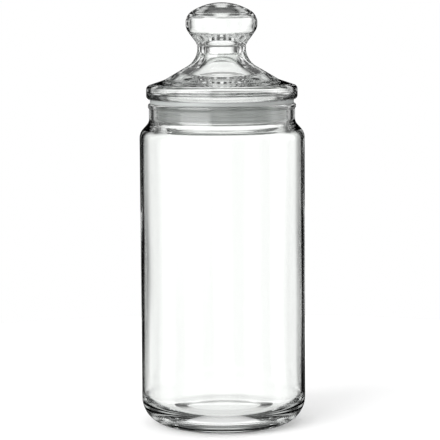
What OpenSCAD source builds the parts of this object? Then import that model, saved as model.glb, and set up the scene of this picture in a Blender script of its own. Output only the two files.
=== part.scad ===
// Lidded glass canister: a straight-sided jar with a short neck, a hollow glass lid with a
// plug and a ball knob, and a clear plastic sealing ring pushed over the plug.
// Millimetres, +Z up. The origin is on the axis, at the height of the foot.
// Every piece is a body of revolution, drawn as an outline of [radius, height, rounding].

/* [Jar] */
// Outside diameter of the straight body
body_d = 108; // [90:0.1:132]
// Height of the jar, from the foot to the top of the lip
jar_h = 211; // [120:0.1:260]
// Wall thickness of the straight body
body_wall = 2.2; // [1.8:0.1:5]
// Thickness of the floor where it meets the wall
floor_t = 8; // [6:0.1:12]
// How much higher the floor is in the middle
floor_rise = 0.8; // [0:0.1:2]
// How far the middle of the underside is pushed up above the foot
push_up = 2.8; // [1:0.1:4]
// Width of the flat ring that the jar stands on
foot_w = 3.5; // [2:0.1:6]
// Width of the slope from that ring to the pushed-up middle
foot_slope_w = 9; // [5:0.1:12]
// Radius of the outside of the heel
heel_round = 17; // [8:0.1:20]
// Radius of the inside of the heel
floor_round = 14; // [6:0.1:20]

/* [Neck] */
// How far the neck is set in from the body, on the radius
neck_inset = 6.3; // [4:0.1:10]
// Wall thickness of the neck
neck_wall = 3.9; // [3:0.1:5]
// Height of the straight neck, from the shoulder to the top of the lip
neck_h = 12.1; // [9:0.1:20]
// Height of the sloping shoulder
shoulder_h = 6.9; // [4:0.1:14]
// Radius where the body turns into the shoulder
shoulder_round = 9; // [4:0.1:14]
// Radius where the shoulder turns into the neck
neck_round = 6; // [3:0.1:10]
// How far the bead of the lip stands out from the neck
lip_bead = 0.6; // [0.2:0.1:1.2]
// Height of the bead of the lip
lip_h = 3.2; // [2:0.1:5]
// Radius of the edges of the lip
lip_round = 1.1; // [0.5:0.1:1.4]

/* [Lid] */
// How far the rim of the lid stands out from the neck, on the radius
rim_overhang = 1.7; // [1:0.1:4]
// Height of the rim's edge
rim_h = 8.8; // [6:0.1:14]
// Width of the brim around the cone
brim_w = 12; // [6:0.1:16]
// Slope of the brim, in degrees
brim_angle = 18.5; // [5:0.5:25]
// Slope of the cone, in degrees
cone_angle = 30.5; // [20:0.5:40]
// Radius where the cone turns into the brim
cone_round = 14; // [5:0.5:30]
// Radius of the upper edge of the rim
rim_round = 3; // [1:0.1:4]
// Radius of the lower edge of the rim
rim_under_round = 2.6; // [0.5:0.1:3]

/* [Hollow of the lid] */
// Glass thickness of the rim's side
rim_wall = 4.1; // [3:0.1:6]
// Glass thickness between the rim's hollow and the seal
ledge_t = 3.2; // [2.5:0.1:4]
// How far the hollow's outer edge lies below the rim's upper edge
roof_drop = 1.1; // [0.5:0.1:2]
// Slope of the hollow's roof, in degrees
roof_angle = 13.5; // [5:0.5:18]
// Diameter at which the roof turns up into the funnel
funnel_d = 50.6; // [36:0.1:60]
// Slope of the funnel, in degrees
funnel_angle = 32; // [26:0.5:50]

/* [Knob] */
// Diameter of the knob
knob_d = 46.8; // [38:0.1:58]
// Diameter of the narrow neck under the knob
knob_neck_d = 31.6; // [28:0.1:36]
// Height of that neck, between the cone and the underside of the knob
knob_neck_h = 10.2; // [9:0.1:16]
// Diameter of the hollow at the narrow neck
knob_bore_d = 22; // [16:0.1:24]
// Lean of the underside of the knob from the vertical, in degrees
under_angle = 36; // [25:1:45]
// Slope at which the crown of the knob meets its edge, in degrees
crown_angle = 28; // [20:1:35]
// Radius of the crown
crown_round = 36; // [30:0.5:60]
// Radius of the knob's edge
knob_round = 9.8; // [7:0.1:12]
// Glass thickness of the side of the knob
knob_wall = 2; // [1.8:0.1:3]
// Glass thickness of the crown
crown_t = 7.8; // [5:0.1:9]
// Height of the upright side of the knob's hollow
bulb_h = 11; // [9:0.1:13]
// Slope of the underside of the knob's hollow, in degrees
bulb_angle = 26; // [15:1:35]
// Radius above the narrow neck
throat_round = 7.2; // [4:0.1:12]
// Radius below the narrow neck
flare_round = 13.7; // [6:0.1:16]

/* [Plug and seal] */
// Length of the lid's plug, below the rim
plug_h = 15.6; // [13:0.1:22]
// Glass thickness of the plug
plug_wall = 4.2; // [3:0.1:6]
// How far the plug's bead stands out, which keeps the seal on
plug_bead = 0.6; // [0.3:0.1:1]
// Height of the plug's bead
plug_bead_h = 1.9; // [1.5:0.1:3]
// Thickness of the seal's flange, between the lip and the rim
flange_t = 2.6; // [1.5:0.1:4]
// How far the flange stops short of the outside of the neck
flange_inset = 0.7; // [0.2:0.1:2]
// Thickness of the seal's sleeve
sleeve_t = 1.4; // [1:0.1:2]
// Thickness of a sealing lip at its root
fin_root_t = 1.3; // [0.8:0.1:1.6]
// Thickness of a sealing lip at its tip
fin_tip_t = 0.6; // [0.4:0.1:0.8]
// Number of sealing lips
fin_count = 3; // [1:1:4]

/* [Fits] */
// Radial gap between the sealing lips and the neck
neck_gap = 0.3; // [0.2:0.05:0.5]
// Radial gap between the seal and the plug
plug_gap = 0.05; // [0.02:0.01:0.1]
// Gap between the seal and the plug's bead, along the axis
bead_gap = 0.15; // [0.05:0.05:0.5]
// Radial room between the seal's sleeve and the neck, which the sealing lips cross
seal_room = 1.7; // [1.2:0.1:3]

/* [Hidden] */

$fn = 96;
arc_step = 6;

body_r = body_d / 2;
body_in_r = body_r - body_wall;
neck_r = body_r - neck_inset;
neck_in_r = neck_r - neck_wall;
lip_r = neck_r + lip_bead;
shoulder_top_z = jar_h - neck_h;
shoulder_z = shoulder_top_z - shoulder_h;
shoulder_turn = atan((body_r - neck_r) / shoulder_h);
// The inside of the shoulder lies lower by this, so that its glass is as thick as the wall
shoulder_drop = body_wall * tan(shoulder_turn / 2);
foot_out_r = body_r - heel_round;
foot_in_r = foot_out_r - foot_w;

sleeve_out_r = neck_in_r - seal_room;
sleeve_in_r = sleeve_out_r - sleeve_t;
fin_tip_r = neck_in_r - neck_gap;
flange_r = neck_r - flange_inset;
seat_z = jar_h + flange_t;
plug_r = sleeve_in_r - plug_gap;
plug_in_r = plug_r - plug_wall;
plug_z = seat_z - plug_h;
plug_bead_r = plug_r + plug_bead;
sleeve_z = plug_z + plug_bead_h + bead_gap;
// The sealing lips share the height of the sleeve between them
fin_foot = 0.3;
fin_pitch = (jar_h - sleeve_z) / fin_count;
fin_round = 0.25;

rim_r = neck_r + rim_overhang;
rim_top_z = seat_z + rim_h;
brim_r = rim_r - brim_w;
brim_z = rim_top_z + brim_w * tan(brim_angle);
knob_r = knob_d / 2;
knob_neck_r = knob_neck_d / 2;
knob_bore_r = knob_bore_d / 2;
cone_top_z = brim_z + (brim_r - knob_neck_r) * tan(cone_angle);
under_z = cone_top_z + knob_neck_h;
// The corner that the knob's edge rounds off, between the crown and the underside
edge_out_r = knob_r - knob_round
    + knob_round * cos((90 - crown_angle - under_angle) / 2)
    / cos((90 - crown_angle + under_angle) / 2);
edge_z = under_z + (edge_out_r - knob_neck_r) / tan(under_angle);
crown_r = crown_round * tan(crown_angle / 2);
top_z = edge_z + (edge_out_r - crown_r) * tan(crown_angle);

// The hollow of the lid: wide behind the rim, a sloping roof, a funnel, a bore and a bulb
rim_in_r = rim_r - rim_wall;
ledge_z = seat_z + ledge_t;
roof_z = rim_top_z - roof_drop;
funnel_r = funnel_d / 2;
funnel_z = roof_z + (rim_in_r - funnel_r) * tan(roof_angle);
bore_low_z = funnel_z + (funnel_r - knob_bore_r) * tan(funnel_angle);
bulb_r = knob_r - knob_wall;
ceiling_z = top_z - crown_t;
bulb_low_z = ceiling_z - bulb_h;
bore_top_z = bulb_low_z - (bulb_r - knob_bore_r) * tan(bulb_angle);
hollow_round = 2;
roof_round = 8;
funnel_round = 12;
bore_round = 3;
bulb_low_round = 5;
bulb_round = 4.5;
plug_round = 1.3;

function unit(v) = v / norm(v);
function flat(c) = [c[0], c[1]];
function turned(a) = a > 180 ? a - 360 : a < -180 ? a + 360 : a;

// Corner i of an outline, counted around its closed loop
function at(corners, i) = corners[(i + len(corners)) % len(corners)];
function side(corners, i) = norm(flat(at(corners, i + 1)) - flat(at(corners, i)));

// Half the angle between the two sides that meet at corner i
function half_angle(corners, i) =
    let (p = flat(at(corners, i)))
    acos(unit(flat(at(corners, i - 1)) - p) * unit(flat(at(corners, i + 1)) - p)) / 2;

// How much of each side the rounding of corner i takes up
function reach(corners, i) = at(corners, i)[2] / tan(half_angle(corners, i));

// The share of its rounding that corner i has room for beside its neighbours
function room(corners, i) =
    let (own = reach(corners, i))
    own == 0 ? 1
    : min(1, side(corners, i - 1) / (own + reach(corners, i - 1)),
        side(corners, i) / (own + reach(corners, i + 1)));

// Points of the arc that rounds corner i
function corner_arc(corners, i) =
    let (
        p = flat(at(corners, i)),
        u = unit(flat(at(corners, i - 1)) - p),
        v = unit(flat(at(corners, i + 1)) - p),
        half = half_angle(corners, i),
        radius = at(corners, i)[2] * room(corners, i),
        centre = p + unit(u + v) * radius / sin(half),
        start = p + u * radius / tan(half) - centre,
        end = p + v * radius / tan(half) - centre,
        from = atan2(start[1], start[0]),
        turn = turned(atan2(end[1], end[0]) - from),
        steps = max(1, ceil(abs(turn) / arc_step))
    )
    [for (k = [0:steps]) centre + radius * [cos(from + turn * k / steps), sin(from + turn * k / steps)]];

// An outline of [radius, height, rounding] corners with its corners rounded
function rounded(corners) =
    [for (i = [0:len(corners) - 1])
        each corners[i][2] > 0 ? corner_arc(corners, i) : [flat(corners[i])]];

module turned_piece(corners) {
    rotate_extrude() polygon(rounded(corners));
}

// The jar: a pushed-up bottom, a round heel, a straight wall, a shoulder and a beaded lip
module glass_jar() {
    color([0.88, 0.93, 0.92, 0.35])
    turned_piece([
        [0, push_up, 0],
        [foot_in_r - foot_slope_w, push_up, 12],
        [foot_in_r, 0, 1],
        [body_r, 0, heel_round],
        [body_r, shoulder_z, shoulder_round],
        [neck_r, shoulder_top_z, neck_round],
        [neck_r, jar_h - lip_h, 1],
        [lip_r, jar_h - lip_h + lip_bead, 0.6],
        [lip_r, jar_h, lip_round],
        [neck_in_r, jar_h, lip_round],
        [neck_in_r, shoulder_top_z - shoulder_drop, neck_round + body_wall],
        [body_in_r, shoulder_z - shoulder_drop, shoulder_round - body_wall],
        [body_in_r, floor_t, floor_round],
        [0, floor_t + floor_rise, 0]
    ]);
}

// The lid: a ball knob on a narrow neck, a cone, a thick rim, and a beaded plug below it,
// all hollow from the plug up into the knob
module glass_lid() {
    color([0.88, 0.93, 0.92, 0.35])
    turned_piece([
        [0, top_z, 0],
        [crown_r, top_z, crown_round],
        [edge_out_r, edge_z, knob_round],
        [knob_neck_r, under_z, throat_round],
        [knob_neck_r, cone_top_z, flare_round],
        [brim_r, brim_z, cone_round],
        [rim_r, rim_top_z, rim_round],
        [rim_r, seat_z, rim_under_round],
        [plug_r, seat_z, 0],
        [plug_r, plug_z + plug_bead_h, 0],
        [plug_bead_r, plug_z + plug_bead_h, 0.4],
        [plug_bead_r, plug_z, plug_round],
        [plug_in_r, plug_z, plug_round],
        [plug_in_r, ledge_z, hollow_round],
        [rim_in_r, ledge_z, hollow_round],
        [rim_in_r, roof_z, hollow_round],
        [funnel_r, funnel_z, roof_round],
        [knob_bore_r, bore_low_z, funnel_round],
        [knob_bore_r, bore_top_z, bore_round],
        [bulb_r, bulb_low_z, bulb_low_round],
        [bulb_r, ceiling_z, bulb_round],
        [0, ceiling_z, 0]
    ]);
}

// A ring of wall with its bottom on z and a sealing lip standing out at its foot
module fin(z) {
    turned_piece([
        [sleeve_out_r - sleeve_t / 2, z, 0],
        [fin_tip_r, z + (fin_root_t - fin_tip_t) / 2, fin_round],
        [fin_tip_r, z + (fin_root_t + fin_tip_t) / 2, fin_round],
        [sleeve_out_r - sleeve_t / 2, z + fin_root_t, 0]
    ]);
}

// The seal: a flange between the lip and the rim, a sleeve around the plug, and sealing lips
module seal_ring() {
    color([0.93, 0.94, 0.94, 0.6])
    union() {
        turned_piece([
            [sleeve_in_r, sleeve_z, 0],
            [sleeve_out_r, sleeve_z, 0.3],
            [sleeve_out_r, jar_h, 0.5],
            [flange_r, jar_h, 0.3],
            [flange_r, seat_z, 0.3],
            [sleeve_in_r, seat_z, 0]
        ]);
        for (k = [0:fin_count - 1]) fin(sleeve_z + fin_foot + k * fin_pitch);
    }
}

glass_jar();
glass_lid();
seal_ring();
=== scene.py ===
"""A lidded glass canister: a straight jar, a hollow lid with a ball knob, and a sealing ring.

Every piece is turned about the upright axis. A piece starts as an outline of corners in its
radius-height half plane, each corner is rounded by an arc, and the outline is carried round the
axis on a grid of angles. Small, smooth departures from that perfect form are added on the grid:
the uneven inside of blown glass, the two seams that the mould leaves, and the ribs of the foot.
"""

import logging
import math
from dataclasses import dataclass
from enum import Enum
from typing import Optional, Sequence

import bpy
import numpy as np
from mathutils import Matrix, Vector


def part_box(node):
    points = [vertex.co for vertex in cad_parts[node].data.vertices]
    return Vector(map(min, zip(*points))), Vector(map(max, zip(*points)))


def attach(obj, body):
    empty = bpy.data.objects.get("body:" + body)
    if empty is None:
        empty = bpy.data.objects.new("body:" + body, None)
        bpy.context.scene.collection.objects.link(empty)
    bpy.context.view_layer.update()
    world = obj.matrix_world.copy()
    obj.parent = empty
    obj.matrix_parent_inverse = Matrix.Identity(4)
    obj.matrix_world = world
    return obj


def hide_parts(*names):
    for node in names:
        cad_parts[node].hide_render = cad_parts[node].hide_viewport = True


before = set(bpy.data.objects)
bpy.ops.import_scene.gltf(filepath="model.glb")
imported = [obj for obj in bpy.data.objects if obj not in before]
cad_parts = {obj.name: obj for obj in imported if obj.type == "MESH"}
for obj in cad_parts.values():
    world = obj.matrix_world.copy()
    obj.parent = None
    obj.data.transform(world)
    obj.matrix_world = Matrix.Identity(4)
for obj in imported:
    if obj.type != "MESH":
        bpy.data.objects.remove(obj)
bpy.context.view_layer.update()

LOG = logging.getLogger("canister")
MM = 0.001
SAME_POINT = 1e-4  # points of an outline that are closer than this, in mm, are one
POLE_FADE = 12.0  # distance from the axis, in mm, within which a surface's marks fade out


def linear(hex_colour: str) -> tuple[float, float, float, float]:
    """Turns an sRGB hex colour into the linear RGBA that shaders take.

    Args:
        hex_colour: A colour such as "#F2F4F3".

    Returns:
        Red, green, blue and alpha, linear, alpha 1.
    """
    levels = np.array([int(hex_colour[k : k + 2], 16) for k in (1, 3, 5)]) / 255.0
    curve = np.where(levels <= 0.04045, levels / 12.92, ((levels + 0.055) / 1.055) ** 2.4)
    return (float(curve[0]), float(curve[1]), float(curve[2]), 1.0)


def add_node(tree: bpy.types.NodeTree, kind: str, settings: Optional[dict] = None,
             inputs: Optional[dict] = None) -> bpy.types.Node:
    """Adds a shader node with its settings, values and incoming links.

    Args:
        tree: The node tree that gets the node.
        kind: The node's type, such as "ShaderNodeMath".
        settings: Properties of the node by name.
        inputs: Values by socket name or number; an output socket is linked instead.

    Returns:
        The new node.
    """
    node = tree.nodes.new(kind)
    for name, value in (settings or {}).items():
        setattr(node, name, value)
    for name, value in (inputs or {}).items():
        if isinstance(value, bpy.types.NodeSocket):
            tree.links.new(value, node.inputs[name])
        else:
            node.inputs[name].default_value = value
    return node


# --------------------------------------------------------------------------- outlines


@dataclass(frozen=True)
class Corner:
    """A corner of an outline, before it is rounded.

    Attributes:
        r: Radius from the axis, in mm.
        z: Height, in mm.
        rounding: Radius of the arc that rounds the corner, in mm.
        uneven: How far the hand of the process moves the surface here, in mm.
        seam: Height of the mould seam here, in mm.
        rib: Depth of the foot's ribs here, in mm.
    """

    r: float
    z: float
    rounding: float = 0.0
    uneven: float = 0.0
    seam: float = 0.0
    rib: float = 0.0

    @property
    def place(self) -> np.ndarray:
        """The corner as a point of the half plane."""
        return np.array([self.r, self.z])

    @property
    def marks(self) -> np.ndarray:
        """The three surface marks, carried along the outline."""
        return np.array([self.uneven, self.seam, self.rib])


class Outline:
    """A closed loop of corners, rounded and cut into short steps."""

    def __init__(self, corners: Sequence[Corner], arc_step: float = 4.0, line_step: float = 2.2):
        """Keeps the corners and the steps.

        Args:
            corners: The loop, counter-clockwise in the radius-height plane.
            arc_step: Longest step on an arc, in degrees.
            line_step: Longest step on a straight stretch, in mm.
        """
        self.corners = list(corners)
        self.arc_step = arc_step
        self.line_step = line_step

    def _sides(self, i: int) -> tuple[np.ndarray, np.ndarray, float]:
        """The directions in which a corner's two sides leave it.

        Args:
            i: Number of the corner.

        Returns:
            The unit vectors to the corner before and after, and half the angle between them.
        """
        here = self.corners[i].place
        before = self.corners[i - 1].place - here
        after = self.corners[(i + 1) % len(self.corners)].place - here
        before = before / np.linalg.norm(before)
        after = after / np.linalg.norm(after)
        return before, after, math.acos(float(np.clip(before @ after, -1, 1))) / 2

    def _arc(self, i: int) -> np.ndarray:
        """The points that replace corner i.

        The arc touches both sides: its centre lies on the line that halves the corner, at
        rounding / sin(half angle), and it starts and ends at rounding / tan(half angle).

        Args:
            i: Number of the corner.

        Returns:
            One row for each point: radius and height, in mm.
        """
        corner = self.corners[i]
        if corner.rounding <= 0:
            return corner.place[None, :]
        before, after, half = self._sides(i)
        middle = (before + after) / np.linalg.norm(before + after)
        centre = corner.place + middle * corner.rounding / math.sin(half)
        start = corner.place + before * corner.rounding / math.tan(half) - centre
        end = corner.place + after * corner.rounding / math.tan(half) - centre
        first = math.atan2(start[1], start[0])
        turn = (math.atan2(end[1], end[0]) - first + math.pi) % (2 * math.pi) - math.pi
        steps = max(2, math.ceil(abs(math.degrees(turn)) / self.arc_step))
        angles = first + turn * np.linspace(0, 1, steps + 1)
        return centre + corner.rounding * np.stack([np.cos(angles), np.sin(angles)], axis=1)

    def rows(self) -> np.ndarray:
        """The finished outline.

        Returns:
            One row for each point: radius, height, uneven, seam and rib, in mm. Straight
            stretches are cut by a cosine spacing, which is finest where they meet the arcs.
        """
        arcs = [self._arc(i) for i in range(len(self.corners))]
        rows = []
        for i, arc in enumerate(arcs):
            marks = self.corners[i].marks
            rows.append(np.column_stack([arc, np.tile(marks, (len(arc), 1))]))
            j = (i + 1) % len(arcs)
            if j == 0 and self.on_axis:
                break
            gap = arcs[j][0] - arc[-1]
            pieces = math.ceil(float(np.linalg.norm(gap)) / self.line_step)
            if pieces < 2:
                continue
            share = (1 - np.cos(np.linspace(0, math.pi, pieces + 1)[1:-1])) / 2
            between = arc[-1] + share[:, None] * gap
            blend = marks + share[:, None] * (self.corners[j].marks - marks)
            rows.append(np.column_stack([between, blend]))
        found = np.concatenate(rows)
        apart = np.linalg.norm(np.diff(found[:, :2], axis=0), axis=1) > SAME_POINT
        return found[np.concatenate([[True], apart])]

    @property
    def on_axis(self) -> bool:
        """Whether the outline starts and ends on the axis, and so makes a body with poles."""
        return self.corners[0].r == 0 and self.corners[-1].r == 0


# --------------------------------------------------------------------------- turned surfaces


@dataclass(frozen=True)
class Unevenness:
    """The slow waves that blowing or pressing leaves in the thickness of glass.

    Attributes:
        waves: For each wave, its count round the axis, its length up the axis in mm, its
            phase in radians and its share of the whole.
    """

    waves: tuple[tuple[int, float, float, float], ...]

    def at(self, angle: np.ndarray, height: np.ndarray) -> np.ndarray:
        """The sum over the waves of share * cos(count * angle + 2 pi height / length + phase).

        Args:
            angle: Angles round the axis, in radians.
            height: Heights, in mm, of a shape that broadcasts with the angles.

        Returns:
            The sum, between about -1 and 1.
        """
        total = np.zeros(np.broadcast(angle, height).shape)
        for count, length, phase, share in self.waves:
            total = total + share * np.cos(count * angle + 2 * math.pi * height / length + phase)
        return total


@dataclass(frozen=True)
class MouldSeam:
    """The fine ridge where the two halves of the mould met.

    Attributes:
        first_deg: Angle of one seam round the axis; the other lies opposite.
        width: Width of the ridge at half its height, in mm.
    """

    first_deg: float = 52.0
    width: float = 1.1

    def at(self, angle: np.ndarray, radius: np.ndarray) -> np.ndarray:
        """A bell curve of the distance, round the piece, to the nearer seam.

        Args:
            angle: Angles round the axis, in radians.
            radius: Radii, in mm, of a shape that broadcasts with the angles.

        Returns:
            1 on a seam, falling to 0 beside it.
        """
        turn = angle - math.radians(self.first_deg)
        nearest = (turn + math.pi / 2) % math.pi - math.pi / 2
        return np.exp(-4 * math.log(2) * (nearest * radius / self.width) ** 2)


class TurnedPiece:
    """A solid of revolution with small departures from the round."""

    def __init__(self, name: str, outline: Outline, unevenness: Unevenness, sectors: int,
                 seam: MouldSeam = MouldSeam(), ribs: int = 96):
        """Keeps what the surface is made from.

        Args:
            name: Name of the piece.
            outline: Its rounded outline.
            unevenness: The waves in its surface.
            sectors: Steps round the axis.
            seam: Its mould seams.
            ribs: Number of ribs round its foot.
        """
        self.name = name
        self.rows = outline.rows()
        self.poles = outline.on_axis
        self.unevenness = unevenness
        self.sectors = sectors
        self.seam = seam
        self.ribs = ribs

    def _grid(self) -> np.ndarray:
        """The points of the surface.

        A point is (r cos a, r sin a, z). Its radius r is the outline's, plus the waves and the
        seam, and its height is raised by up to the rib depth, as (1 - cos(ribs a)) / 2. All of
        them fade to nothing towards the axis, as the square of the radius, so the poles stay
        smooth.

        Returns:
            The points, in metres, as an array of rows by sectors by 3.
        """
        angle = np.linspace(0, 2 * math.pi, self.sectors, endpoint=False)[None, :]
        r, z, uneven, seam, rib = (self.rows[:, k : k + 1] for k in range(5))
        fade = np.clip(r / POLE_FADE, 0, 1) ** 2
        radius = r + fade * (uneven * self.unevenness.at(angle, z) + seam * self.seam.at(angle, r))
        height = z + fade * rib * (1 - np.cos(self.ribs * angle)) / 2
        return np.stack(
            [radius * np.cos(angle), radius * np.sin(angle), np.broadcast_to(height, radius.shape)],
            axis=2,
        ) * MM

    def _faces(self, rows: int, closed: bool) -> np.ndarray:
        """The quads of a grid of vertices, facing outwards.

        Args:
            rows: Number of whole rows in the grid.
            closed: Whether the last row joins the first.

        Returns:
            One row of four vertex numbers for each quad.
        """
        low = np.arange(rows if closed else rows - 1)[:, None]
        high = (low + 1) % rows
        here = np.arange(self.sectors)[None, :]
        beside = (here + 1) % self.sectors
        quads = np.stack(
            [low * self.sectors + here, low * self.sectors + beside,
             high * self.sectors + beside, high * self.sectors + here], axis=2)
        return quads.reshape(-1, 4)

    def build(self) -> bpy.types.Object:
        """Makes the mesh and its object, which sits at the origin.

        A piece with poles has one vertex at each pole and a fan of triangles round it.

        Returns:
            The new object, smooth shaded.
        """
        grid = self._grid()
        body = grid[1:-1] if self.poles else grid
        points = body.reshape(-1, 3)
        corners = self._faces(len(body), closed=not self.poles).ravel()
        sizes = np.full(len(corners) // 4, 4)
        if self.poles:
            here = np.arange(self.sectors)
            beside = (here + 1) % self.sectors
            first, last = len(points), len(points) + 1
            top = (len(body) - 1) * self.sectors
            start = np.stack([np.full_like(here, first), beside, here], axis=1)
            end = np.stack([top + here, top + beside, np.full_like(here, last)], axis=1)
            points = np.concatenate([points, grid[0, :1], grid[-1, :1]])
            corners = np.concatenate([corners, start.ravel(), end.ravel()])
            sizes = np.concatenate([sizes, np.full(2 * self.sectors, 3)])
        mesh = bpy.data.meshes.new(self.name)
        mesh.vertices.add(len(points))
        mesh.vertices.foreach_set("co", points.ravel())
        mesh.loops.add(len(corners))
        mesh.loops.foreach_set("vertex_index", corners)
        mesh.polygons.add(len(sizes))
        mesh.polygons.foreach_set("loop_start", np.concatenate([[0], np.cumsum(sizes)[:-1]]))
        mesh.polygons.foreach_set("use_smooth", np.ones(len(sizes), bool))
        mesh.update(calc_edges=True)
        mesh.validate()
        made = bpy.data.objects.new(self.name, mesh)
        bpy.context.scene.collection.objects.link(made)
        return made


# --------------------------------------------------------------------------- finishes


@dataclass(frozen=True)
class SodaLimeGlass:
    """Soda-lime glass, shaped hot in an iron mould and fire polished.

    The flame leaves the skin glossy and almost perfectly smooth. What the eye sees is the bend of
    light in walls of slightly changing thickness, and a trace of green-grey where it is thick.

    Attributes:
        name: Name of the material.
        skin: Colour of one pass through the skin.
        depth: Colour of thick glass.
        depth_per_m: Strength of that colour for each metre of glass.
        ripple_mm: Length of the soft ripple of the skin.
        ripple_depth_mm: Height of that ripple.
        haze: Highest roughness, where the skin was handled.
        touches_per_m: Handled places along each metre.
        touched: Values of the noise at which the haze begins and is full.
        ior: Index of refraction of soda-lime glass.
    """

    name: str
    skin: str = "#FDFEFD"
    depth: str = "#D3DAD6"
    depth_per_m: float = 3.0
    ripple_mm: float = 16.0
    ripple_depth_mm: float = 0.012
    haze: float = 0.035
    touches_per_m: float = 55.0
    touched: tuple[float, float] = (0.45, 0.75)
    ior: float = 1.52

    def build(self) -> bpy.types.Material:
        """Makes the material.

        Returns:
            The material: clear glass with a soft ripple, and roughness that wanders a little.
        """
        made = bpy.data.materials.new(self.name)
        made.use_nodes = True
        tree = made.node_tree
        tree.nodes.clear()
        place = add_node(tree, "ShaderNodeTexCoord").outputs["Object"]
        ripple = add_node(tree, "ShaderNodeTexNoise", inputs={
            "Vector": place, "Scale": 1 / (self.ripple_mm * MM), "Detail": 1.0})
        bump = add_node(tree, "ShaderNodeBump", inputs={
            "Height": ripple.outputs["Fac"], "Distance": self.ripple_depth_mm * MM})
        handled = add_node(tree, "ShaderNodeTexNoise", inputs={
            "Vector": place, "Scale": self.touches_per_m, "Detail": 3.0, "Roughness": 0.6})
        haze = add_node(tree, "ShaderNodeMapRange", inputs={
            "Value": handled.outputs["Fac"], "From Min": self.touched[0],
            "From Max": self.touched[1], "To Min": 0.0, "To Max": self.haze})
        shader = add_node(tree, "ShaderNodeBsdfPrincipled", inputs={
            "Base Color": linear(self.skin), "IOR": self.ior, "Transmission Weight": 1.0,
            "Roughness": haze.outputs["Result"], "Normal": bump.outputs["Normal"]})
        thick = add_node(tree, "ShaderNodeVolumeAbsorption", inputs={
            "Color": linear(self.depth), "Density": self.depth_per_m})
        add_node(tree, "ShaderNodeOutputMaterial", inputs={
            "Surface": shader.outputs["BSDF"], "Volume": thick.outputs["Volume"]})
        return made


@dataclass(frozen=True)
class SoftPolyethylene:
    """Low-density polyethylene, injection moulded without pigment.

    It is milky rather than clear: light passes, spread by the plastic, and the skin has the soft
    sheen of a spark-eroded mould.

    Attributes:
        name: Name of the material.
        body: Colour of the plastic.
        flow: Colour of the faint streaks that the melt leaves.
        flange: Colour of the flange, greyer than the sleeve: painted shade between the jar's lip and the
            lid's rim.
        flange_z_mm: Height at which the flange starts.
        flange_blend_mm: Half the height over which one colour goes over into the other.
        clearness: Share of the light that passes through.
        streaks_per_m: Streaks along each metre.
        streak_flatness: How many times longer than high a streak is.
        grain_mm: Size of the mould's grain, drawn coarser than the real 0.05 mm so that it shows.
        grain_depth_mm: Height of that grain.
        sheen: Lowest and highest roughness.
        ior: Index of refraction of polyethylene.
    """

    name: str
    body: str = "#E4E6E5"
    flow: str = "#D2D5D4"
    # painted shade: the flange, between the jar's lip and the lid's rim, is coloured darker
    flange: str = "#A9ACAB"
    flange_z_mm: float = 210.8
    flange_blend_mm: float = 0.2
    clearness: float = 0.3
    streaks_per_m: float = 90.0
    streak_flatness: float = 5.0
    grain_mm: float = 0.5
    grain_depth_mm: float = 0.02
    sheen: tuple[float, float] = (0.28, 0.42)
    ior: float = 1.51

    def build(self) -> bpy.types.Material:
        """Makes the material.

        Returns:
            The material: milky plastic with flow streaks, a fine grain, and painted shade on the flange.
        """
        made = bpy.data.materials.new(self.name)
        made.use_nodes = True
        tree = made.node_tree
        tree.nodes.clear()
        place = add_node(tree, "ShaderNodeTexCoord").outputs["Object"]
        stretched = add_node(tree, "ShaderNodeMapping", inputs={
            "Vector": place, "Scale": (1.0, 1.0, self.streak_flatness)})
        streak = add_node(tree, "ShaderNodeTexNoise", inputs={
            "Vector": stretched.outputs["Vector"], "Scale": self.streaks_per_m, "Detail": 4.0})
        colour = add_node(tree, "ShaderNodeMix", {"data_type": "RGBA"}, {
            0: streak.outputs["Fac"], 6: linear(self.body), 7: linear(self.flow)})
        upright = add_node(tree, "ShaderNodeSeparateXYZ", inputs={0: place})
        # Painted shade: above the flange height the colour turns to the darker grey of the flange, where
        # it lies between the jar's lip and the lid's rim.
        flange_shade_share = add_node(tree, "ShaderNodeMapRange", inputs={
            "Value": upright.outputs["Z"],
            "From Min": self.flange_z_mm * MM - self.flange_blend_mm * MM,
            "From Max": self.flange_z_mm * MM + self.flange_blend_mm * MM})
        shaded_tone = add_node(tree, "ShaderNodeMix", {"data_type": "RGBA"}, {
            0: flange_shade_share.outputs["Result"], 6: colour.outputs[2], 7: linear(self.flange)})
        grain = add_node(tree, "ShaderNodeTexNoise", inputs={
            "Vector": place, "Scale": 1 / (self.grain_mm * MM), "Detail": 2.0})
        bump = add_node(tree, "ShaderNodeBump", inputs={
            "Height": grain.outputs["Fac"], "Distance": self.grain_depth_mm * MM})
        sheen = add_node(tree, "ShaderNodeMapRange", inputs={
            "Value": streak.outputs["Fac"], "To Min": self.sheen[0], "To Max": self.sheen[1]})
        shader = add_node(tree, "ShaderNodeBsdfPrincipled", inputs={
            "Base Color": shaded_tone.outputs[2], "IOR": self.ior,
            "Transmission Weight": self.clearness, "Roughness": sheen.outputs["Result"],
            "Normal": bump.outputs["Normal"]})
        add_node(tree, "ShaderNodeOutputMaterial", inputs={"Surface": shader.outputs["BSDF"]})
        return made


# --------------------------------------------------------------------------- the canister


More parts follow.
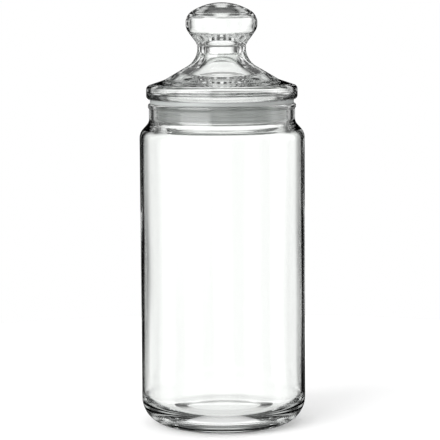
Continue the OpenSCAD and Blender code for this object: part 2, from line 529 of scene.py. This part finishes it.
@dataclass
class Jar:
    """The jar: pushed-up bottom, round heel, straight wall, shoulder, neck and beaded lip.

    The overall radius and height come from the frame; the other sizes are in mm.
    """

    body_r: float
    height: float
    body_wall: float = 2.2
    floor_t: float = 8.0
    floor_rise: float = 0.8
    push_up: float = 2.8
    foot_w: float = 3.5
    foot_round: float = 1.0
    foot_slope_w: float = 9.0
    foot_slope_round: float = 12.0
    heel_round: float = 17.0
    floor_round: float = 14.0
    neck_inset: float = 6.3
    neck_wall: float = 3.9
    neck_h: float = 12.1
    shoulder_h: float = 6.9
    shoulder_round: float = 9.0
    neck_round: float = 6.0
    lip_bead: float = 0.6
    lip_bead_round: float = 0.6
    lip_under_round: float = 1.0
    lip_h: float = 3.2
    lip_round: float = 1.1
    sectors: int = 384

    @classmethod
    def from_frame(cls) -> "Jar":
        """The jar whose radius and height are those of its node in the frame."""
        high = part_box("glass_jar")[1]
        return cls(body_r=high.x / MM, height=high.z / MM)

    @property
    def neck_r(self) -> float:
        """Outside radius of the neck."""
        return self.body_r - self.neck_inset

    @property
    def mouth_r(self) -> float:
        """Inside radius of the neck."""
        return self.neck_r - self.neck_wall

    def outline(self) -> Outline:
        """Places the corners.

        The inside of the shoulder is set down by wall * tan(half its turn), so the wall doesn't
        thin round the bend.

        Returns:
            The outline, from the underside out and up to the lip, and down the inside.
        """
        neck_z = self.height - self.neck_h
        shoulder_z = neck_z - self.shoulder_h
        turn = math.atan(self.neck_inset / self.shoulder_h)
        drop = self.body_wall * math.tan(turn / 2)
        foot_in = self.body_r - self.heel_round - self.foot_w
        inside_r = self.body_r - self.body_wall
        lip_z = self.height - self.lip_h
        return Outline([
            Corner(0, self.push_up),
            Corner(foot_in - self.foot_slope_w, self.push_up, self.foot_slope_round, uneven=0.03),
            Corner(foot_in, 0, self.foot_round, rib=0.14),
            Corner(self.body_r, 0, self.heel_round, seam=0.05),
            Corner(self.body_r, shoulder_z, self.shoulder_round, seam=0.06),
            Corner(self.neck_r, neck_z, self.neck_round, seam=0.05),
            Corner(self.neck_r, lip_z, self.lip_under_round),
            Corner(self.neck_r + self.lip_bead, lip_z + self.lip_bead, self.lip_bead_round),
            Corner(self.neck_r + self.lip_bead, self.height, self.lip_round),
            Corner(self.mouth_r, self.height, self.lip_round),
            Corner(self.mouth_r, neck_z - drop, self.neck_round + self.body_wall, uneven=0.04),
            Corner(inside_r, shoulder_z - drop, self.shoulder_round - self.body_wall, uneven=0.14),
            Corner(inside_r, self.floor_t, self.floor_round, uneven=0.2),
            Corner(0, self.floor_t + self.floor_rise),
        ])

    def build(self, glass: bpy.types.Material) -> bpy.types.Object:
        """Makes the jar and puts it on its body.

        Args:
            glass: Its material.

        Returns:
            The jar.
        """
        blown = Unevenness(((2, 310.0, 0.4, 0.5), (3, 190.0, 2.1, 0.3), (5, -130.0, 4.0, 0.15),
                            (9, 75.0, 1.1, 0.05)))
        made = TurnedPiece("jar_glass_body", self.outline(), blown, self.sectors).build()
        return dress(made, glass, "jar", "glass_jar")


@dataclass
class Lid:
    """The lid: ball knob on a narrow neck, cone, brim, thick rim, and a beaded plug.

    It is hollow from the plug up into the knob. The rim's radius, the top and the foot of the
    plug come from the frame, and so does the seal's top, on which the rim rests; the other sizes
    are in mm.
    """

    rim_r: float
    top_z: float
    plug_z: float
    seat_z: float
    plug_r: float
    rim_h: float = 8.8
    brim_w: float = 12.0
    brim_deg: float = 18.5
    cone_deg: float = 30.5
    cone_round: float = 14.0
    rim_round: float = 3.0
    rim_under_round: float = 2.6
    knob_r: float = 23.4
    knob_neck_r: float = 15.8
    knob_neck_h: float = 10.2
    bore_r: float = 11.0
    roof_deg: float = 13.5
    roof_round: float = 8.0
    funnel_r: float = 25.3
    funnel_deg: float = 32.0
    funnel_round: float = 12.0
    bulb_h: float = 11.0
    bulb_under_deg: float = 26.0
    bulb_throat_round: float = 3.0
    bulb_low_round: float = 5.0
    bulb_round: float = 4.5
    under_deg: float = 36.0
    crown_deg: float = 28.0
    crown_round: float = 36.0
    knob_round: float = 9.8
    knob_wall: float = 2.0
    crown_t: float = 7.8
    throat_round: float = 7.2
    flare_round: float = 13.7
    plug_wall: float = 4.2
    plug_root_round: float = 0.3
    plug_bead: float = 0.6
    plug_bead_h: float = 1.9
    bead_root_round: float = 0.2
    bead_round: float = 0.4
    hollow_round: float = 2.0
    rim_wall: float = 4.1
    ledge_t: float = 3.2
    roof_drop: float = 1.1
    plug_round: float = 1.3
    sectors: int = 360

    @classmethod
    def from_frame(cls, plug_r: float) -> "Lid":
        """The lid whose rim, top and plug are those of its node in the frame.

        Args:
            plug_r: Outside radius of the plug, in mm, which the seal's bore sets.

        Returns:
            The lid.
        """
        low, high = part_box("glass_lid")
        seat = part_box("seal_ring")[1].z
        return cls(rim_r=high.x / MM, top_z=high.z / MM, plug_z=low.z / MM, seat_z=seat / MM,
                   plug_r=plug_r)

    def outline(self) -> Outline:
        """Places the corners.

        A sloping stretch rises by its width * tan(its angle). The knob's edge is the meeting point
        of the crown and the underside that lets its rounding reach out to the knob's radius.

        Returns:
            The outline, from the hollow's ceiling down to the foot of the plug, and up the outside
            to the top of the knob.
        """
        brim, cone = math.radians(self.brim_deg), math.radians(self.cone_deg)
        under, crown = math.radians(self.under_deg), math.radians(self.crown_deg)
        rim_top = self.seat_z + self.rim_h
        brim_r = self.rim_r - self.brim_w
        brim_z = rim_top + self.brim_w * math.tan(brim)
        cone_top = brim_z + (brim_r - self.knob_neck_r) * math.tan(cone)
        under_z = cone_top + self.knob_neck_h
        middle, half = (math.pi / 2 - crown - under) / 2, (math.pi / 2 - crown + under) / 2
        edge_r = self.knob_r - self.knob_round + self.knob_round * math.cos(middle) / math.cos(half)
        edge_z = under_z + (edge_r - self.knob_neck_r) / math.tan(under)
        crown_r = self.crown_round * math.tan(crown / 2)
        plug_in_r = self.plug_r - self.plug_wall
        rim_in_r = self.rim_r - self.rim_wall
        ledge_z = self.seat_z + self.ledge_t
        roof_z = rim_top - self.roof_drop
        corner_z = roof_z + (rim_in_r - self.funnel_r) * math.tan(math.radians(self.roof_deg))
        funnel_rise = math.tan(math.radians(self.funnel_deg))
        funnel_z = corner_z + (self.funnel_r - self.bore_r) * funnel_rise
        bulb_r = self.knob_r - self.knob_wall
        ceiling_z = self.top_z - self.crown_t
        bulb_low_z = ceiling_z - self.bulb_h
        throat_z = bulb_low_z - (bulb_r - self.bore_r) * math.tan(math.radians(self.bulb_under_deg))
        bead_z = self.plug_z + self.plug_bead_h
        bead_r = self.plug_r + self.plug_bead
        hollow = [
            Corner(plug_in_r, self.plug_z, self.plug_round),
            Corner(plug_in_r, ledge_z, self.hollow_round, uneven=0.06),
            Corner(rim_in_r, ledge_z, self.hollow_round, uneven=0.06),
            Corner(rim_in_r, roof_z, self.hollow_round, uneven=0.06),
            Corner(self.funnel_r, corner_z, self.roof_round, uneven=0.08),
            Corner(self.bore_r, funnel_z, self.funnel_round, uneven=0.08),
            Corner(self.bore_r, throat_z, self.bulb_throat_round, uneven=0.05),
            Corner(bulb_r, bulb_low_z, self.bulb_low_round, uneven=0.08),
            Corner(bulb_r, ceiling_z, self.bulb_round, uneven=0.08),
            Corner(0, ceiling_z),
        ]
        outside = [
            Corner(0, self.top_z),
            Corner(crown_r, self.top_z, self.crown_round),
            Corner(edge_r, edge_z, self.knob_round, uneven=0.02),
            Corner(self.knob_neck_r, under_z, self.throat_round, uneven=0.03),
            Corner(self.knob_neck_r, cone_top, self.flare_round, uneven=0.03),
            Corner(brim_r, brim_z, self.cone_round, uneven=0.04),
            Corner(self.rim_r, rim_top, self.rim_round),
            Corner(self.rim_r, self.seat_z, self.rim_under_round),
            Corner(self.plug_r, self.seat_z, self.plug_root_round),
            Corner(self.plug_r, bead_z, self.bead_root_round),
            Corner(bead_r, bead_z, self.bead_round),
            Corner(bead_r, self.plug_z, self.plug_round),
        ]
        return Outline((outside + hollow)[::-1])

    def build(self, glass: bpy.types.Material) -> bpy.types.Object:
        """Makes the lid and puts it on its body.

        Args:
            glass: Its material.

        Returns:
            The lid.
        """
        pressed = Unevenness(((2, 140.0, 1.3, 0.45), (3, -90.0, 0.2, 0.35), (7, 60.0, 3.0, 0.2)))
        made = TurnedPiece("lid_glass_body", self.outline(), pressed, self.sectors).build()
        return dress(made, glass, "lid", "glass_lid")


@dataclass
class Seal:
    """The sealing ring: a flange between lip and rim, a sleeve round the plug, and thin lips.

    Its place comes from the frame; the other sizes are in mm. A sealing lip is called a fin in the
    names here, to tell it from the lip of the jar.
    """

    flange_r: float
    low_z: float
    top_z: float
    mouth_r: float
    flange_t: float = 2.6
    sleeve_t: float = 1.4
    fin_root_t: float = 1.3
    fin_tip_t: float = 0.6
    fin_pitch: float = 3.65
    fin_count: int = 3
    fin_foot: float = 0.3
    neck_gap: float = 0.3
    seal_room: float = 1.7
    film: float = 0.02
    plug_gap: float = 0.05
    foot_in_round: float = 0.2
    foot_out_round: float = 0.1
    fin_low_round: float = 0.08
    fin_high_round: float = 0.2
    fin_tip_round: float = 0.25
    flange_root_round: float = 0.5
    flange_round: float = 0.3
    sectors: int = 288

    @classmethod
    def from_frame(cls, mouth_r: float) -> "Seal":
        """The seal whose flange and heights are those of its node in the frame.

        Args:
            mouth_r: Inside radius of the jar's neck, in mm.

        Returns:
            The seal.
        """
        low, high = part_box("seal_ring")
        return cls(flange_r=high.x / MM, low_z=low.z / MM, top_z=high.z / MM, mouth_r=mouth_r)

    @property
    def sleeve_out_r(self) -> float:
        """Outside radius of the sleeve."""
        return self.mouth_r - self.seal_room

    @property
    def bore_r(self) -> float:
        """Inside radius of the sleeve."""
        return self.sleeve_out_r - self.sleeve_t

    def outline(self) -> Outline:
        """Places the corners, four of them for each sealing lip.

        The flange stops short of the glass on both sides by a film of air.

        Returns:
            The outline, from the foot up the outside and down the bore.
        """
        tip_r = self.mouth_r - self.neck_gap
        slope = (self.fin_root_t - self.fin_tip_t) / 2
        corners = [
            Corner(self.bore_r, self.low_z, self.foot_in_round),
            Corner(self.sleeve_out_r, self.low_z, self.foot_out_round),
        ]
        for k in range(self.fin_count):
            z = self.low_z + self.fin_foot + k * self.fin_pitch
            corners += [
                Corner(self.sleeve_out_r, z, self.fin_low_round),
                Corner(tip_r, z + slope, self.fin_tip_round, uneven=0.05),
                Corner(tip_r, z + slope + self.fin_tip_t, self.fin_tip_round, uneven=0.05),
                Corner(self.sleeve_out_r, z + self.fin_root_t, self.fin_high_round),
            ]
        under = self.top_z - self.flange_t + self.film
        corners += [
            Corner(self.sleeve_out_r, under, self.flange_root_round),
            Corner(self.flange_r, under, self.flange_round),
            Corner(self.flange_r, self.top_z - self.film, self.flange_round),
            Corner(self.bore_r, self.top_z - self.film, self.flange_round),
        ]
        return Outline(corners, arc_step=15, line_step=1.5)

    def build(self, plastic: bpy.types.Material) -> bpy.types.Object:
        """Makes the seal and puts it on its body.

        Args:
            plastic: Its material.

        Returns:
            The seal.
        """
        soft = Unevenness(((3, 400.0, 0.0, 0.6), (8, 400.0, 2.0, 0.4)))
        made = TurnedPiece("seal_ring_moulding", self.outline(), soft, self.sectors).build()
        return dress(made, plastic, "seal", "seal_ring")


def dress(piece: bpy.types.Object, material: bpy.types.Material, body: str, node: str) -> bpy.types.Object:
    """Gives a piece its material and ties it to the frame.

    Args:
        piece: The new piece.
        material: Its material.
        body: The body that it rides on.
        node: The node that it stands for.

    Returns:
        The piece.
    """
    piece.data.materials.append(material)
    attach(piece, body)
    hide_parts(node)
    LOG.info("%s: %d faces, on body %s", piece.name, len(piece.data.polygons), body)
    return piece


# --------------------------------------------------------------------------- the studio


class LightPart(Enum):
    """The kinds of ray that the studio answers differently, by their Light Path output."""

    SEEN = "Is Camera Ray"
    SPREAD = "Diffuse Depth"
    THROUGH = "Is Transmission Ray"


@dataclass(frozen=True)
class SoftBox:
    """A bright panel of the studio, as the glass sees it.

    Attributes:
        azimuth_deg: Direction of its middle, turned from +X towards +Y.
        half_deg: Half its width, to the middle of its soft edges.
        low_deg: Height of its lower edge over the horizon.
        high_deg: Height of its upper edge.
        level: Its brightness.
        copies: How many of it stand around the canister, evenly spaced.
        blur_deg: Width of its soft edges.
    """

    azimuth_deg: float
    half_deg: float
    low_deg: float
    high_deg: float
    level: float
    copies: int = 1
    blur_deg: float = 12.0


@dataclass
class Studio:
    """A pale floor, a white surround and the camera.

    For the eye and for matt surfaces the surround is even and white. Clear glass sees soft boxes
    in a dark room: one window every 45 degrees, so that the glass looks alike from all sides, with
    dark gaps that draw the outlines of the walls.

    Attributes:
        floor_r: Radius of the floor, in metres.
        floor_drop: How far the floor lies under the foot, in metres.
        camera_distance: From the axis to the camera, in metres.
        camera_height: Height of the camera, in metres.
        camera_pitch_deg: How far the camera looks down.
        camera_roll_deg: How far the camera is tilted sideways.
        camera_shift: Sideways shift of the lens, as a share of the frame.
        field_of_view_deg: Angle of view.
        floor_light: Brightness of the surround for matt surfaces.
        room_light: Brightness of the room between the soft boxes.
        windows: The soft boxes that show through the glass.
        lamps: The soft boxes that are mirrored in its skin.
        bounces: How often light may pass through glass.
        mirror_bounces: How often it may be mirrored.
    """

    floor_r: float = 0.45
    floor_drop: float = 0.05 * MM
    camera_distance: float = 1.31
    camera_height: float = 0.277
    camera_pitch_deg: float = 6.22
    camera_roll_deg: float = 0.35
    camera_shift: float = -0.003
    field_of_view_deg: float = 12.53
    floor_light: float = 1.3
    room_light: float = 0.004
    windows: tuple[SoftBox, ...] = (
        SoftBox(0, 12, -30, 14, 1.2, copies=4, blur_deg=11),  # front, back and sides
        SoftBox(45, 12, -30, -8, 1.1, copies=4),  # the diagonals, below
        SoftBox(45, 10, -8, 30, 0.6, copies=4),  # the diagonals, above and dimmer
        SoftBox(0, 180, 56, 100, 1.0),  # overhead
        SoftBox(0, 180, -100, -30, 0.9),  # from below, in place of the floor
        SoftBox(0, 180, 14, 56, 0.15),  # a dim band between those
    )
    lamps: tuple[SoftBox, ...] = (
        SoftBox(226, 26, -4, 45, 7.0),  # the strongest, at the front left
        SoftBox(12, 20, -4, 40, 2.5),  # at the right
        SoftBox(0, 180, 60, 100, 0.8),  # overhead
    )
    bounces: int = 24
    mirror_bounces: int = 12

    def floor(self) -> None:
        """Lays the floor: a flat disc of pale, matt board, hidden from light that meets glass."""
        steps = 128
        angle = np.linspace(0, 2 * math.pi, steps, endpoint=False)
        ring = np.stack([np.cos(angle), np.sin(angle), np.zeros(steps)], axis=1) * self.floor_r
        mesh = bpy.data.meshes.new("floor")
        mesh.from_pydata(ring.tolist(), [], [list(range(steps))])
        made = bpy.data.objects.new("floor", mesh)
        made.location.z = -self.floor_drop
        bpy.context.scene.collection.objects.link(made)
        board = bpy.data.materials.new("matt_white_board")
        board.use_nodes = True
        shader = board.node_tree.nodes["Principled BSDF"]
        shader.inputs["Base Color"].default_value = linear("#E2E2E2")
        shader.inputs["Roughness"].default_value = 0.9
        shader.inputs["Specular IOR Level"].default_value = 0.1
        mesh.materials.append(board)
        made.visible_transmission = False
        made.visible_glossy = False

    def panel(self, tree: bpy.types.NodeTree, azimuth: bpy.types.NodeSocket,
              height: bpy.types.NodeSocket, box: SoftBox) -> bpy.types.NodeSocket:
        """Adds the nodes of one soft box.

        Args:
            tree: Node tree of the world.
            azimuth: Direction of the ray, in degrees.
            height: Height of the ray over the horizon, in degrees.
            box: The soft box.

        Returns:
            The light of the box in that direction.
        """
        away = add_node(tree, "ShaderNodeMath", {"operation": "WRAP"}, {
            0: azimuth, 1: box.azimuth_deg + 180.0 / box.copies,
            2: box.azimuth_deg - 180.0 / box.copies})
        aside = add_node(tree, "ShaderNodeMath", {"operation": "SUBTRACT"}, {
            0: away.outputs[0], 1: box.azimuth_deg})
        across = add_node(tree, "ShaderNodeMath", {"operation": "ABSOLUTE"}, {
            0: aside.outputs[0]})
        soft = box.blur_deg / 2
        level = box.level
        for value, edge, inwards in ((across.outputs[0], box.half_deg, -soft),
                                     (height, box.low_deg, soft), (height, box.high_deg, -soft)):
            fade = add_node(tree, "ShaderNodeMapRange", {"interpolation_type": "SMOOTHSTEP"}, {
                "Value": value, "From Min": edge - inwards, "From Max": edge + inwards})
            share = add_node(tree, "ShaderNodeMath", {"operation": "MULTIPLY"}, {
                0: level, 1: fade.outputs[0]})
            level = share.outputs[0]
        return level

    def lit(self, tree: bpy.types.NodeTree, azimuth: bpy.types.NodeSocket,
            height: bpy.types.NodeSocket, boxes: Sequence[SoftBox]) -> bpy.types.NodeSocket:
        """Adds the nodes of a room with several soft boxes.

        Args:
            tree: Node tree of the world.
            azimuth: Direction of the ray, in degrees.
            height: Height of the ray over the horizon, in degrees.
            boxes: The soft boxes.

        Returns:
            The light of the room in that direction.
        """
        level = self.room_light
        for box in boxes:
            total = add_node(tree, "ShaderNodeMath", {"operation": "ADD"}, {
                0: level, 1: self.panel(tree, azimuth, height, box)})
            level = total.outputs[0]
        return level

    def surround(self) -> None:
        """Lights the surround: white for the eye, even for matt surfaces, soft boxes for glass."""
        world = bpy.data.worlds.new("studio")
        world.use_nodes = True
        tree = world.node_tree
        tree.nodes.clear()
        direction = add_node(tree, "ShaderNodeTexCoord").outputs["Generated"]
        split = add_node(tree, "ShaderNodeSeparateXYZ", inputs={0: direction})
        turn = add_node(tree, "ShaderNodeMath", {"operation": "ARCTAN2"}, {
            0: split.outputs["Y"], 1: split.outputs["X"]})
        rise = add_node(tree, "ShaderNodeMath", {"operation": "ARCSINE"}, {0: split.outputs["Z"]})
        azimuth, height = (add_node(tree, "ShaderNodeMath", {"operation": "DEGREES"}, {
            0: angle.outputs[0]}).outputs[0] for angle in (turn, rise))
        path = add_node(tree, "ShaderNodeLightPath")
        level = self.lit(tree, azimuth, height, self.lamps)
        for part, light in ((LightPart.THROUGH, self.lit(tree, azimuth, height, self.windows)),
                            (LightPart.SPREAD, self.floor_light), (LightPart.SEEN, 1.0)):
            mix = add_node(tree, "ShaderNodeMix", {"data_type": "FLOAT"}, {
                0: path.outputs[part.value], 2: level, 3: light})
            level = mix.outputs[0]
        shine = add_node(tree, "ShaderNodeBackground", inputs={
            "Color": linear("#FFFFFF"), "Strength": level})
        add_node(tree, "ShaderNodeOutputWorld", inputs={"Surface": shine.outputs[0]})
        bpy.context.scene.world = world

    def camera(self) -> None:
        """Puts up the camera: a long lens at the height of the knob, looking slightly down."""
        lens = bpy.data.cameras.new("camera")
        lens.angle = math.radians(self.field_of_view_deg)
        lens.shift_x = self.camera_shift
        made = bpy.data.objects.new("camera", lens)
        made.location = (0, -self.camera_distance, self.camera_height)
        made.rotation_euler = (math.radians(90 - self.camera_pitch_deg),
                               math.radians(self.camera_roll_deg), 0)
        bpy.context.scene.collection.objects.link(made)
        bpy.context.scene.camera = made

    def exposure(self) -> None:
        """Sets plain display colours, and enough bounces to cross the lid's many walls."""
        scene = bpy.context.scene
        scene.view_settings.view_transform = "Standard"
        scene.cycles.max_bounces = self.bounces
        scene.cycles.transmission_bounces = self.bounces
        scene.cycles.glossy_bounces = self.mirror_bounces

    def build(self) -> None:
        """Sets up the whole studio."""
        self.floor()
        self.surround()
        self.camera()
        self.exposure()


def main() -> None:
    """Builds the canister and its studio."""
    logging.basicConfig(level=logging.INFO, format="%(name)s: %(message)s")
    jar = Jar.from_frame()
    seal = Seal.from_frame(jar.mouth_r)
    lid = Lid.from_frame(seal.bore_r - seal.plug_gap)
    blown = SodaLimeGlass("soda_lime_glass_blown")
    pressed = SodaLimeGlass("soda_lime_glass_pressed", ripple_mm=11.0, ripple_depth_mm=0.01)
    plastic = SoftPolyethylene("polyethylene_moulded")
    jar.build(blown.build())
    seal.build(plastic.build())
    lid.build(pressed.build())
    Studio().build()


if __name__ == "__main__":
    main()
